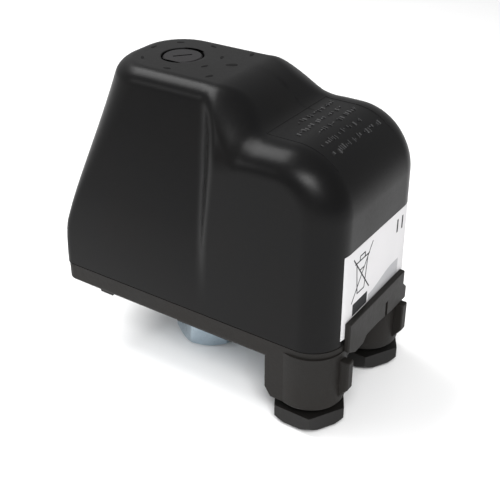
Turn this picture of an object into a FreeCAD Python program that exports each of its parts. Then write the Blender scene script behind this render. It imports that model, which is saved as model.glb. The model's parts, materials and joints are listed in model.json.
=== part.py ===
import FreeCAD, Part
import math
import os
import Sketcher
from FreeCAD import Rotation, Vector

# A compressor pressure switch. +Z points up through the cover, +X points to the cable end. All
# sizes are in millimetres and drawn from a datum on the middle plane of the lever train; each
# finished piece is then moved, so that the origin is the centre of the pressure port's mouth.

DIMENSIONS = {
    # moulded base
    "base_left": -48.4,
    "base_right": 55.2,
    "base_half": 29.6,
    "base_bottom": 21.5,
    "base_top": 28.1,
    "base_wall": 2.6,
    "floor_top": 26.0,
    "cable_corner": 11.4,
    "blind_corner": 3.0,
    "lip_top": 31.2,
    # cover shell
    "cover_left": -47.9,
    "cover_right": 54.8,
    "cover_half": 29.6,
    "cover_bottom": 28.4,
    "kink_level": 43.1,
    "shoulder_level": 89.7,
    "crown_level": 100.0,
    "crown_left": -35.4,
    "crown_half": 18.1,
    "crown_nose": 16.0,
    "crown_round": 4.6,
    "cover_wall": 2.5,
    "brow_start": 6.5,
    "brow_radius": 18.0,
    "brow_foot_radius": 8.0,
    "shoulder_radius": 16.0,
    "shoulder_round": 8.4,
    "bevel_height": 17.0,
    "step_x": 13.2,
    "step_slope": 0.85,
    # cover screw and the pillar it enters
    "screw_x": -16.8,
    "screw_head_radius": 6.3,
    "screw_recess_radius": 6.85,
    "screw_recess_depth": 3.2,
    "screw_shank_radius": 2.45,
    "pillar_bore_radius": 2.5,
    # cable inlets
    "inlet_x": 44.1,
    "inlet_y": 18.9,
    "inlet_radius": 11.3,
    "inlet_bottom": 6.3,
    "inlet_bore": 8.6,
    "throat_radius": 6.5,
    "throat_level": 19.0,
    "nut_bottom": -1.1,
    "nut_top": 4.3,
    "nut_flats": 22.0,
    "nut_spigot_top": 12.0,
    "cable_bore": 5.5,
    # pressure port
    "port_x": -8.0,
    "port_mouth": -2.4,
    "port_flats": 22.0,
    "port_thread_radius": 5.72,
    "port_thread_depth": 13.0,
    "flange_side": 46.0,
    "flange_thick": 1.7,
    "flange_pitch_x": 26.0,
    "flange_pitch_y": 37.0,
    # lever train
    "pivot_x": 10.0,
    "pivot_z": 38.2,
    "pin_radius": 2.0,
    "ear_inner": 14.8,
    "ear_thick": 1.5,
    "running_gap": 0.05,
    "lever_bottom": 33.8,
    "lever_thick": 2.0,
    "carrier_x": 27.0,
    "frame_thick": 1.5,
    "stud_radius": 3.0,
    "small_stud_x": -34.5,
    "small_stud_radius": 2.0,
    # contacts
    "pole_pitch": 13.0,
    "block_left": 17.6,
    "block_right": 37.0,
    "block_half": 21.5,
    "block_top": 46.0,
    # rating label
    "label_half": 20.7,
    "label_low": 30.3,
    "label_high": 59.5,
    "label_thick": 0.18,
}

SLOT_HALF_LENGTH = 3.1
SLOT_HALF_WIDTH = 0.45
SLOT_ANGLE = math.radians(49.0)
SMALLEST_CORNER = 0.4

document = FreeCAD.newDocument("PressureSwitch")
sheet = document.addObject("Spreadsheet::Sheet", "Sizes")


class Size:
    """A length that is a number and, at the same time, an expression on the size sheet."""

    def __init__(self, value, text):
        self.value = value
        self.text = text

    def __add__(self, other):
        other = as_size(other)
        return Size(self.value + other.value, f"({self.text} + {other.text})")

    def __sub__(self, other):
        other = as_size(other)
        return Size(self.value - other.value, f"({self.text} - {other.text})")

    def __mul__(self, number):
        return Size(self.value * number, f"({self.text} * {number})")

    def __truediv__(self, number):
        return Size(self.value / number, f"({self.text} / {number})")

    def __neg__(self):
        return Size(-self.value, f"(0 - {self.text})")


def as_size(length):
    """Let a plain number stand where a Size is wanted."""
    if isinstance(length, Size):
        return length
    return Size(float(length), f"({float(length)})")


def size(name):
    """The named driving dimension."""
    return Size(float(DIMENSIONS[name]), f"Sizes.{name}")


def fill_sheet():
    """Write the driving dimensions into the sheet, one row each, with their aliases."""
    for row, (name, value) in enumerate(DIMENSIONS.items(), start=1):
        sheet.set(f"A{row}", name)
        sheet.set(f"B{row}", str(value))
        sheet.setAlias(f"B{row}", name)
    document.recompute()


def bind(thing, name, length):
    """Drive one property of an object from the sheet."""
    thing.setExpression(name, as_size(length).text)


def place(thing, x, y, z):
    """Drive an object's position from the sheet."""
    for axis, length in zip("xyz", (x, y, z)):
        bind(thing, f"Placement.Base.{axis}", length)


# --- primitives and booleans -------------------------------------------------------------------


def block(x, y, z):
    """A box between the given limits along each axis."""
    box = document.addObject("Part::Box", "Block")
    for name, (low, high) in zip(("Length", "Width", "Height"), (x, y, z)):
        bind(box, name, as_size(high) - low)
    place(box, x[0], y[0], z[0])
    return box


def rod(x, y, z, radius):
    """An upright cylinder at x, y between two levels."""
    low, high = z
    cylinder = document.addObject("Part::Cylinder", "Rod")
    bind(cylinder, "Radius", radius)
    bind(cylinder, "Height", as_size(high) - low)
    place(cylinder, x, y, low)
    return cylinder


def cross_rod(x, y, z, radius):
    """A cylinder along Y between two limits."""
    low, high = y
    cylinder = document.addObject("Part::Cylinder", "CrossRod")
    cylinder.Placement = FreeCAD.Placement(Vector(), Rotation(Vector(1, 0, 0), -90))
    bind(cylinder, "Radius", radius)
    bind(cylinder, "Height", as_size(high) - low)
    place(cylinder, x, low, z)
    return cylinder


def cone(x, y, z, low_radius, high_radius):
    """An upright cone frustum."""
    low, high = z
    frustum = document.addObject("Part::Cone", "Frustum")
    bind(frustum, "Radius1", low_radius)
    bind(frustum, "Radius2", high_radius)
    bind(frustum, "Height", as_size(high) - low)
    place(frustum, x, y, low)
    return frustum


def hexagon(x, y, z, across_flats, turn=0.0):
    """An upright hexagonal bar with two corners on the X axis, or turned by some degrees."""
    low, high = z
    prism = document.addObject("Part::Prism", "Hexagon")
    prism.Placement = FreeCAD.Placement(Vector(), Rotation(Vector(0, 0, 1), turn))
    prism.Polygon = 6
    bind(prism, "Circumradius", as_size(across_flats) / math.sqrt(3.0))
    bind(prism, "Height", as_size(high) - low)
    place(prism, x, y, low)
    return prism


def tube(x, y, z, outer, inner):
    """An upright tube: a cylinder with a concentric hole through it."""
    return cut(rod(x, y, z, outer), rod(x, y, z, inner))


def union(*pieces):
    """All pieces as one solid."""
    fused = document.addObject("Part::MultiFuse", "Union")
    fused.Shapes = list(pieces)
    return fused


def cut(base, *tools):
    """The base with every tool taken out of it."""
    for tool in tools:
        result = document.addObject("Part::Cut", "Cut")
        result.Base = base
        result.Tool = tool
        base = result
    return base


def common(first, second):
    """What two solids share."""
    shared = document.addObject("Part::MultiCommon", "Common")
    shared.Shapes = [first, second]
    return shared


def soften(piece, radius, wanted=None):
    """Round the edges of a piece whose boxes pass the test, or all of them."""
    document.recompute()
    edges = enumerate(piece.Shape.Edges, start=1)
    chosen = [index for index, edge in edges if wanted is None or wanted(edge.BoundBox)]
    rounded = document.addObject("Part::Fillet", "Rounded")
    rounded.Base = piece
    rounded.Edges = [(index, radius, radius) for index in chosen]
    return rounded


def group(pieces):
    """Identical separate solids kept together."""
    compound = document.addObject("Part::Compound", "Group")
    compound.Links = list(pieces)
    return compound


# --- sketched bodies ---------------------------------------------------------------------------


def new_body(name):
    """An empty part design body."""
    return document.addObject("PartDesign::Body", name)


def sketch_on(body, role, lift):
    """A sketch on one of the body's own origin planes, lifted along that plane's normal."""
    sketch = body.newObject("Sketcher::SketchObject", "Sketch")
    planes = [feature for feature in body.Origin.OriginFeatures if feature.Role == role]
    sketch.AttachmentSupport = [(planes[0], "")]
    sketch.MapMode = "FlatFace"
    bind(sketch, "AttachmentOffset.Base.z", lift)
    return sketch


def pin_point(sketch, line, corner, across, up):
    """Hold one point of a sketch at sheet-driven coordinates."""
    for kind, length in (("DistanceX", across), ("DistanceY", up)):
        rule = Sketcher.Constraint(kind, -1, 1, line, corner, as_size(length).value)
        index = sketch.addConstraint(rule)
        sketch.setExpression(f"Constraints[{index}]", as_size(length).text)


def draw_outline(sketch, points):
    """A closed outline of straight lines through sheet-driven points."""
    first = sketch.GeometryCount
    ends = points[1:] + points[:1]
    for start, end in zip(points, ends):
        corners = [Vector(as_size(a).value, as_size(b).value, 0) for a, b in (start, end)]
        sketch.addGeometry(Part.LineSegment(*corners))
    for index in range(len(points)):
        following = first + (index + 1) % len(points)
        sketch.addConstraint(Sketcher.Constraint("Coincident", first + index, 2, following, 1))
    for index, (across, up) in enumerate(points):
        pin_point(sketch, first + index, 1, across, up)


def draw_circle(sketch, across, up, radius):
    """A circle with a sheet-driven centre and radius."""
    line = sketch.GeometryCount
    centre = Vector(as_size(across).value, as_size(up).value, 0)
    sketch.addGeometry(Part.Circle(centre, Vector(0, 0, 1), as_size(radius).value))
    pin_point(sketch, line, 3, across, up)
    index = sketch.addConstraint(Sketcher.Constraint("Radius", line, as_size(radius).value))
    sketch.setExpression(f"Constraints[{index}]", as_size(radius).text)


def rectangle(x, y):
    """The four corners of a rectangle between two limits each way."""
    return [(x[0], y[0]), (x[1], y[0]), (x[1], y[1]), (x[0], y[1])]


def pad(body, sketch, length):
    """Extrude a sketch along its normal."""
    feature = body.newObject("PartDesign::Pad", "Pad")
    feature.Profile = sketch
    bind(feature, "Length", length)
    document.recompute()
    return feature


def pocket(body, sketch, length):
    """Cut a sketch into the body against its normal, and make sure that it did cut."""
    before = body.Shape.Volume
    feature = body.newObject("PartDesign::Pocket", "Pocket")
    feature.Profile = sketch
    bind(feature, "Length", length)
    document.recompute()
    if body.Shape.Volume > before - 0.01:
        raise RuntimeError(f"{body.Name}: a pocket cuts nothing")
    return feature


def turned(name, profile):
    """A body turned about the Z axis from an outline of radius and level."""
    body = new_body(name)
    sketch = sketch_on(body, "XZ_Plane", 0)
    draw_outline(sketch, profile)
    feature = body.newObject("PartDesign::Revolution", "Turning")
    feature.Profile = sketch
    feature.ReferenceAxis = (sketch, ["V_Axis"])
    feature.Angle = 360
    document.recompute()
    return body


def coil(name, x, radius, wire, low, high, turns):
    """A compression spring: a round wire swept along a helix."""
    body = new_body(name)
    sketch = sketch_on(body, "XZ_Plane", 0)
    draw_circle(sketch, radius, as_size(low) + wire, wire)
    feature = body.newObject("PartDesign::AdditiveHelix", "Winding")
    feature.Profile = sketch
    feature.ReferenceAxis = (sketch, ["V_Axis"])
    feature.Mode = "pitch-height-angle"
    rise = as_size(high) - low - as_size(wire) * 2
    bind(feature, "Height", rise)
    bind(feature, "Pitch", rise / turns)
    place(body, x, 0, 0)
    document.recompute()
    return body


# --- cover shell -------------------------------------------------------------------------------


def arc_through(start, middle, end):
    """An edge along the circle through three points."""
    return Part.Arc(Vector(*start), Vector(*middle), Vector(*end)).toShape()


def line_through(start, end):
    """A straight edge."""
    return Part.LineSegment(Vector(*start), Vector(*end)).toShape()


def nose_wire(left, right, half, radius, level):
    """A level outline with two rounded corners at the blind end and two square ones."""
    near, far = left + radius, half - radius
    slant = radius * (1.0 - math.sqrt(0.5))
    low_corner = (near, -half, level), (left + slant, -half + slant, level), (left, -far, level)
    high_corner = (left, far, level), (left + slant, half - slant, level), (near, half, level)
    edges = [
        arc_through(*low_corner),
        line_through(low_corner[2], high_corner[0]),
        arc_through(*high_corner),
        line_through((near, half, level), (right, half, level)),
        line_through((right, half, level), (right, -half, level)),
        line_through((right, -half, level), (near, -half, level)),
    ]
    return Part.Wire(edges)


def profile_face(inset, left, bottom):
    """The side view of the cover: flat crown, brow, low shoulder and rounded cable end."""
    crown = DIMENSIONS["crown_level"] - inset
    shoulder = DIMENSIONS["shoulder_level"] - inset
    right = DIMENSIONS["cover_right"] - inset
    brow = DIMENSIONS["brow_radius"] - inset
    foot = DIMENSIONS["brow_foot_radius"] + inset
    end = DIMENSIONS["shoulder_radius"] - inset
    start = DIMENSIONS["brow_start"]
    root, half_root = math.sqrt(0.5), math.radians(22.5)
    brow_middle = (start + brow * math.sin(half_root), 0, crown - brow * (1 - math.cos(half_root)))
    brow_end = (start + brow * root, 0, crown - brow * (1 - root))
    run = brow_end[2] - shoulder - foot * (1 - root)
    foot_start = (brow_end[0] + run, 0, brow_end[2] - run)
    foot_end = (foot_start[0] + foot * root, 0, shoulder)
    foot_middle = (
        foot_end[0] - foot * math.sin(half_root),
        0,
        shoulder + foot * (1 - math.cos(half_root)),
    )
    turn_start = (right - end, 0, shoulder)
    turn_middle = (right - end + end * root, 0, shoulder - end + end * root)
    turn_end = (right, 0, shoulder - end)
    edges = [
        line_through((left, 0, bottom), (left, 0, crown)),
        line_through((left, 0, crown), (start, 0, crown)),
        arc_through((start, 0, crown), brow_middle, brow_end),
        line_through(brow_end, foot_start),
        arc_through(foot_start, foot_middle, foot_end),
        line_through(foot_end, turn_start),
        arc_through(turn_start, turn_middle, turn_end),
        line_through(turn_end, (right, 0, bottom)),
        line_through((right, 0, bottom), (left, 0, bottom)),
    ]
    return Part.Face(Part.Wire(edges))


def profile_slab(inset, left, bottom, half):
    """The side view drawn out sideways to a solid."""
    face = profile_face(inset, left, bottom)
    face.translate(Vector(0, -half, 0))
    return face.extrude(Vector(0, 2 * half, 0))


def tower(inset, bottom):
    """The tall end: upright up to the kink, then leaning in to the flat crown."""
    left = DIMENSIONS["cover_left"] + inset
    half = DIMENSIONS["cover_half"] - inset
    crown_left = DIMENSIONS["crown_left"] + inset
    crown_half = DIMENSIONS["crown_half"] - inset
    kink, crown = DIMENSIONS["kink_level"], DIMENSIONS["crown_level"] - inset
    corner = max(DIMENSIONS["blind_corner"] - inset, SMALLEST_CORNER)
    right = DIMENSIONS["step_x"] + 14.0
    foot_wire = nose_wire(left, right, half, corner, bottom)
    kink_wire = nose_wire(left, right, half, corner, kink)
    nose = DIMENSIONS["crown_nose"] - inset
    crown_wire = nose_wire(crown_left, right, crown_half, nose, crown)
    lower = Part.makeLoft([foot_wire, kink_wire], True, True)
    upper = Part.makeLoft([kink_wire, crown_wire], True, True)
    crown_edges = [
        edge
        for edge in upper.Edges
        if edge.BoundBox.ZMin > crown - 0.01 and edge.BoundBox.XMin < right - 0.01
    ]
    upper = upper.makeFillet(DIMENSIONS["crown_round"] - inset * 0.5, crown_edges)
    solid = lower.fuse(upper)
    return solid.common(profile_slab(inset, left - 5.0, bottom - 1.0, half + 5.0))


def shoulder(inset, bottom):
    """The low cable end: upright walls under the side view, its long edges rounded."""
    half = DIMENSIONS["cover_half"] - inset
    slab = profile_slab(inset, -20.0, bottom, half)
    rounded = [
        edge
        for edge in slab.Edges
        if edge.BoundBox.YLength < 0.01 and edge.BoundBox.XMax > DIMENSIONS["brow_start"] + 0.01
        and edge.BoundBox.ZMax > bottom + 0.01
    ]
    slab = slab.makeFillet(DIMENSIONS["shoulder_round"] - inset, rounded)
    step = DIMENSIONS["step_x"] + inset
    inner = 12.0
    back = step - DIMENSIONS["step_slope"] * (half - inner)
    right = DIMENSIONS["cover_right"] + 5.0
    outline = [(step, -half), (right, -half), (right, half), (step, half), (back, inner), (back, -inner)]
    corners = [Vector(x, y, bottom - 1.0) for x, y in outline]
    plan = Part.Face(Part.makePolygon(corners + corners[:1]))
    slab = slab.common(plan.extrude(Vector(0, 0, DIMENSIONS["crown_level"])))
    return slab.common(brow_bevel(inset, half, bottom - 2.0))


def brow_bevel(inset, half, bottom):
    """A long prism whose upper corners slope from the walls up to the crown's width."""
    crown = DIMENSIONS["crown_level"] - inset
    crown_half = DIMENSIONS["crown_half"] + 1.1 - inset
    slope_start = crown - DIMENSIONS["bevel_height"]
    section = [(-half, bottom), (-half, slope_start), (-crown_half, crown)]
    section += [(crown_half, crown), (half, slope_start), (half, bottom)]
    corners = [Vector(-30.0, y, z) for y, z in section]
    face = Part.Face(Part.makePolygon(corners + corners[:1]))
    return face.extrude(Vector(120.0, 0, 0))


def cover_volume(inset, bottom):
    """The cover's outer surface as a solid, or its inner one when inset by the wall."""
    return tower(inset, bottom).fuse(shoulder(inset, bottom)).removeSplitter()


def make_cover():
    """Cover shell with the screw well hanging from its crown."""
    wall = DIMENSIONS["cover_wall"]
    bottom, crown = DIMENSIONS["cover_bottom"], DIMENSIONS["crown_level"]
    axis_x = DIMENSIONS["screw_x"]
    shell = cover_volume(0.0, bottom).cut(cover_volume(wall, bottom - 5.0))
    well_bottom = crown - DIMENSIONS["screw_recess_depth"] - 3.0
    recess_floor = crown - DIMENSIONS["screw_recess_depth"]
    down = Vector(0, 0, 1)
    well = Part.makeCylinder(9.0, crown - wall - well_bottom, Vector(axis_x, 0, well_bottom), down)
    shell = shell.fuse(well)
    recess_radius = DIMENSIONS["screw_recess_radius"]
    recess = Part.makeCylinder(recess_radius, 9.0, Vector(axis_x, 0, recess_floor), down)
    hole_radius = DIMENSIONS["screw_shank_radius"] + 0.45
    hole = Part.makeCylinder(hole_radius, 20.0, Vector(axis_x, 0, well_bottom - 5.0), down)
    feature = document.addObject("Part::Feature", "CoverShell")
    feature.Shape = shell.cut(recess).cut(hole).cut(label_recess())
    return feature


def label_recess():
    """The shallow pocket of the cable-end face that takes the rating label."""
    depth, reach, margin = DIMENSIONS["label_thick"] + 0.02, 2.0, 0.2
    half = DIMENSIONS["label_half"] + margin
    low, high = DIMENSIONS["label_low"] - margin, DIMENSIONS["label_high"] + margin
    corner = Vector(DIMENSIONS["cover_right"] - depth, -half, low)
    return Part.makeBox(depth + reach, 2 * half, high - low, corner)


def make_cover_screw():
    """Slotted captive screw: a broad flush head on a plain shank with a threaded end."""
    crown = size("crown_level")
    under = crown - size("screw_recess_depth") + 0.25
    shank = size("screw_shank_radius")
    profile = [
        (0, crown - 18.0),
        (shank - 0.6, crown - 18.0),
        (shank, crown - 17.4),
        (shank, under),
        (size("screw_head_radius"), under),
        (size("screw_head_radius"), crown - 0.5),
        (size("screw_head_radius") - 0.4, crown - 0.1),
        (0, crown - 0.1),
    ]
    body = turned("CoverScrew", profile)
    sketch = sketch_on(body, "XY_Plane", crown - 0.1)
    across, up = math.cos(SLOT_ANGLE), math.sin(SLOT_ANGLE)
    straight = rectangle((-SLOT_HALF_LENGTH, SLOT_HALF_LENGTH), (-SLOT_HALF_WIDTH, SLOT_HALF_WIDTH))
    draw_outline(sketch, [(x * across - y * up, x * up + y * across) for x, y in straight])
    pocket(body, sketch, 1.6)
    place(body, size("screw_x"), 0, 0)
    return body


def make_screw_retainer():
    """Push-on washer that keeps the screw in the cover."""
    level = size("crown_level") - size("screw_recess_depth") - 3.0
    x = size("screw_x")
    return tube(x, 0, (level - 1.1, level - 0.3), 5.2, size("screw_shank_radius"))


def make_rating_label():
    """Self-adhesive sheet on the cable-end face."""
    face, half = size("cover_right"), size("label_half")
    sheet_thick = (face - size("label_thick"), face)
    return block(sheet_thick, (-half, half), (size("label_low"), size("label_high")))


# --- base --------------------------------------------------------------------------------------


def rounded_slab(inset, z):
    """The base's plan outline, inset by a wall, between two levels."""
    left, right = size("base_left") + inset, size("base_right") - inset
    half = size("base_half") - inset
    wide, tight = size("cable_corner") - inset, size("blind_corner") - inset
    if tight.value < SMALLEST_CORNER:
        tight = as_size(SMALLEST_CORNER)
    pieces = [
        block((left + tight, right - wide), (-half, half), z),
        block((left, right), (-half + wide, half - wide), z),
        block((left, left + tight * 2), (-half + tight, half - tight), z),
    ]
    for side in (-1, 1):
        pieces.append(rod(right - wide, (half - wide) * side, z, wide))
        pieces.append(rod(left + tight, (half - tight) * side, z, tight))
    slab = union(*pieces)
    slab.Refine = True
    return slab


def rounded_bar(outline, y, radius):
    """A bar across Y with the given side view in X and Z, all its edges rounded."""
    body = new_body("Bar")
    low, high = y
    sketch = sketch_on(body, "XZ_Plane", -as_size(high))
    draw_outline(sketch, outline)
    pad(body, sketch, as_size(high) - low)
    return soften(body, radius)


def inlet_boss(side):
    """Downward socket for one cable nut, with a rib at the end and a web at the side wall."""
    x, y = size("inlet_x"), size("inlet_y") * side
    low, high = size("inlet_bottom"), size("base_bottom") + 1.5
    barrel = rod(x, y, (low, size("floor_top")), size("inlet_radius"))
    barrel = soften(barrel, 0.9, lambda box: box.ZMax < DIMENSIONS["inlet_bottom"] + 0.01)
    end = x + 14.2
    rib_view = [(x, low + 2.0), (end - 3.4, low + 2.0), (end, low + 6.6), (end, high), (x, high)]
    rib = rounded_bar(rib_view, (y - 1.7, y + 1.7), 0.6)
    start = x - 10.6
    web_view = [(start, high), (start, low + 3.6), (start + 2.2, low + 0.2), (x, low + 0.2), (x, high)]
    wall = size("base_half") * side
    web_width = (wall - 3.0, wall) if side > 0 else (wall, wall + 3.0)
    web = rounded_bar(web_view, web_width, 0.6)
    return [barrel, rib, web]


def end_plate():
    """Upright plate at the cable end that the cover hooks behind."""
    right = size("base_right")
    outline = [
        (-18.8, 25.8),
        (-14.0, 23.2),
        (-9.0, 23.4),
        (-6.0, 26.2),
        (4.6, 25.0),
        (10.5, 24.3),
        (21.2, 24.0),
        (21.2, 28.6),
        (18.8, 30.8),
        (18.8, 36.0),
        (-18.8, 36.0),
    ]
    body = new_body("EndPlate")
    sketch = sketch_on(body, "YZ_Plane", right - 0.1)
    draw_outline(sketch, outline)
    pad(body, sketch, 2.0)
    slot = block((right - 1.0, right + 3.0), (5.6, 7.2), (22.0, 30.4))
    return cut(soften(body, 0.5), slot)


def make_base():
    """Moulded tray with the cable sockets, the cover lip and the end plate."""
    wall = size("base_wall")
    bottom, top = size("base_bottom"), size("base_top")
    lip_gap = size("cover_wall") + 0.9
    skirt = rounded_slab(0, (bottom, top))
    skirt = soften(skirt, 1.3, lambda box: box.ZMax < DIMENSIONS["base_bottom"] + 0.01)
    lip = rounded_slab(lip_gap, (top - 0.1, size("lip_top")))
    lip = soften(lip, 0.4, lambda box: box.ZMin > DIMENSIONS["lip_top"] - 0.01)
    shell = union(
        skirt,
        lip,
        *inlet_boss(-1),
        *inlet_boss(1),
        end_plate(),
    )
    feet = [
        block((-34.7, -29.4), (-28.0, -24.0), (bottom - 1.5, bottom + 0.1)),
        block((-34.7, -29.4), (24.0, 28.0), (bottom - 1.5, bottom + 0.1)),
        block((-1.6, 20.2), (-28.0, -24.4), (bottom - 1.0, bottom + 0.1)),
        block((-1.6, 20.2), (24.4, 28.0), (bottom - 1.0, bottom + 0.1)),
    ]
    half_flange = size("flange_side") / 2 + 0.5
    hollow = rounded_slab(wall + 2.0, (size("floor_top"), 40))
    seat = block((-half_flange, half_flange), (-half_flange, half_flange), (bottom - 3.0, 24))
    opening = rod(0, 0, (20, 30), 12.0)
    groove = cut(
        rounded_slab(0.9, (top - 0.9, top + 1.0)), rounded_slab(2.2, (top - 2.0, top + 2.0))
    )
    tools = [hollow, seat, opening, groove]
    for side in (-1, 1):
        x, y = size("inlet_x"), size("inlet_y") * side
        tools.append(rod(x, y, (0, size("throat_level")), size("inlet_bore")))
        tools.append(rod(x, y, (18, 30), size("throat_radius")))
    for x, y in flange_screw_places():
        tools.append(rod(x, y, (20, 30), 2.1))
    for side in (-1, 1):
        tools.append(rod(27, as_size(side * 22.9), (23, 30), 1.25))
        tools.append(rod(41.5, as_size(side * 4.0), (23.5, 30), 1.6))
    return cut(union(shell, *feet), *tools)


def make_cover_gasket():
    """Rubber cord in the base's rim groove, under the cover's edge."""
    top = size("base_top")
    outer = rounded_slab(0.95, (top - 0.85, top + 0.15))
    return cut(outer, rounded_slab(2.15, (top - 2.0, top + 2.0)))


# --- cable entries -----------------------------------------------------------------------------


def make_cable_nut(side):
    """Hexagonal clamping nut with a threaded spigot and a cable hole."""
    x, y = size("inlet_x"), size("inlet_y") * side
    low, top = size("nut_bottom"), size("nut_top")
    flats = size("nut_flats")
    head = hexagon(x, y, (low, top), flats)
    chamfer = cone(x, y, (low, top), flats / 2 + 0.4, flats / 2 + 5.4)
    spigot = rod(x, y, (top - 0.1, size("nut_spigot_top")), size("inlet_bore") - 0.1)
    bore = rod(x, y, (low - 1.0, size("nut_spigot_top") + 1.0), size("cable_bore"))
    return cut(union(common(head, chamfer), spigot), bore)


def make_clamp_washer(side):
    """Loose slip washer between the nut and the rubber sleeve."""
    x, y = size("inlet_x"), size("inlet_y") * side
    level = size("nut_spigot_top") + 0.05
    return tube(x, y, (level, level + 1.0), size("inlet_bore") - 0.4, 5.3)


def make_cable_seal(side):
    """Rubber sleeve that the nut squeezes round the cable."""
    x, y = size("inlet_x"), size("inlet_y") * side
    low, top = size("nut_spigot_top") + 1.4, size("throat_level") - 0.02
    return tube(x, y, (low, top), size("inlet_bore") - 0.15, 4.75)


# --- pressure side -----------------------------------------------------------------------------


def flange_screw_places():
    """Centres of the four flange screws."""
    across, along = size("flange_pitch_x") / 2, size("flange_pitch_y") / 2
    return [(across * x, along * y) for x in (-1, 1) for y in (-1, 1)]


def make_port_connector():
    """Hexagonal threaded connector with a thin pressure passage."""
    x, mouth, top = size("port_x"), size("port_mouth"), size("base_bottom")
    spigot_top = top + size("flange_thick")
    flats = size("port_flats")
    head = hexagon(x, 0, (mouth, top), flats, 30.0)
    chamfer = cone(x, 0, (mouth, top), flats / 2 - 0.9, flats / 2 + 30.0)
    spigot = rod(x, 0, (top - 0.1, spigot_top), 6.0)
    thread_end = mouth + size("port_thread_depth")
    thread = rod(x, 0, (mouth - 1.0, thread_end), size("port_thread_radius"))
    passage = rod(x, 0, (thread_end - 2.0, 30), 2.0)
    return cut(union(common(head, chamfer), spigot), thread, passage)


def make_flange_plate():
    """Square steel plate that clamps the diaphragm to the base."""
    half = size("flange_side") / 2
    low = size("base_bottom")
    body = new_body("FlangePlate")
    sketch = sketch_on(body, "XY_Plane", low)
    draw_outline(sketch, rectangle((-half, half), (-half, half)))
    draw_circle(sketch, size("port_x"), 0, 6.02)
    for x, y in flange_screw_places():
        draw_circle(sketch, x, y, 2.2)
    pad(body, sketch, size("flange_thick"))
    return body


def make_flange_screws():
    """Four pan-head screws from below through flange and base into the frame."""
    screws = []
    low = size("base_bottom")
    for x, y in flange_screw_places():
        slot = block((x - 4.0, x + 4.0), (y - 0.5, y + 0.5), (15, low - 1.2))
        head = cut(rod(x, y, (low - 2.2, low - 0.02), 3.7), slot)
        screws.append(union(head, rod(x, y, (low - 0.1, size("floor_top") + 2.4), 1.95)))
    return group(screws)


def make_diaphragm():
    """Rubber disc with a raised ring, clamped between flange and base."""
    low = size("base_bottom") + size("flange_thick")
    edge = 16.5
    profile = [
        (0, low + 0.02),
        (edge, low + 0.02),
        (edge, low + 0.75),
        (11.0, low + 0.75),
        (10.2, low + 0.95),
        (0, low + 0.95),
    ]
    return turned("Diaphragm", profile)


def make_pressure_plate():
    """Piston disc on the diaphragm with the stem that lifts the lever."""
    low = size("base_bottom") + size("flange_thick") + 1.0
    lever = size("lever_bottom")
    profile = [
        (0, low),
        (11.2, low),
        (11.2, low + 1.8),
        (10.6, low + 2.4),
        (4.0, low + 2.4),
        (4.0, lever - 1.6),
        (1.2, lever - 1.0),
        (1.2, lever - 0.3),
        (0, lever - 0.3),
    ]
    return turned("PressurePlate", profile)


# --- lever train -------------------------------------------------------------------------------


def make_frame():
    """Pressed steel frame: a floor screwed to the flange and two ears for the pivot pin."""
    low = size("floor_top") + 0.02
    top = low + size("frame_thick")
    body = new_body("Frame")
    sketch = sketch_on(body, "XY_Plane", low)
    outline = [(-41, -16.5), (-24, -22), (17, -22), (17, 22), (-24, 22), (-41, 16.5)]
    draw_outline(sketch, outline)
    draw_circle(sketch, 0, 0, 12.6)
    draw_circle(sketch, size("screw_x"), 0, size("stud_radius") - 0.5)
    draw_circle(sketch, size("small_stud_x"), 0, size("small_stud_radius") - 0.4)
    for x, y in flange_screw_places():
        draw_circle(sketch, x, y, 2.0)
    pad(body, sketch, size("frame_thick"))
    inner, thick = size("ear_inner"), size("ear_thick")
    for near in (-inner - thick, inner):
        ear = sketch_on(body, "XZ_Plane", -near)
        pivot_x, pivot_z = size("pivot_x"), size("pivot_z")
        profile = [
            (pivot_x - 6.0, top - 0.5),
            (pivot_x + 6.0, top - 0.5),
            (pivot_x + 4.5, pivot_z + 4.5),
            (pivot_x - 4.5, pivot_z + 4.5),
        ]
        draw_outline(ear, profile)
        draw_circle(ear, pivot_x, pivot_z, size("pin_radius") + 0.01)
        feature = pad(body, ear, thick)
        feature.Reversed = True
        document.recompute()
    return body


def make_pivot_pin():
    """Lever pivot pin across the frame's ears."""
    reach = size("ear_inner") + size("ear_thick") + 2.2
    return cross_rod(size("pivot_x"), (-reach, reach), size("pivot_z"), size("pin_radius"))


def make_pivot_clips():
    """Two spring clips on the pin's ends."""
    clips = []
    x, z = size("pivot_x"), size("pivot_z")
    ear_face = size("ear_inner") + size("ear_thick")
    for low, high in ((-ear_face - 1.1, -ear_face - 0.3), (ear_face + 0.3, ear_face + 1.1)):
        ring = cut(cross_rod(x, (low, high), z, 3.8), cross_rod(x, (low - 1, high + 1), z, 2.01))
        gap = block((x - 1.2, x + 1.2), (low - 1, high + 1), (z - 6.0, z))
        clips.append(cut(ring, gap))
    return group(clips)


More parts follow.
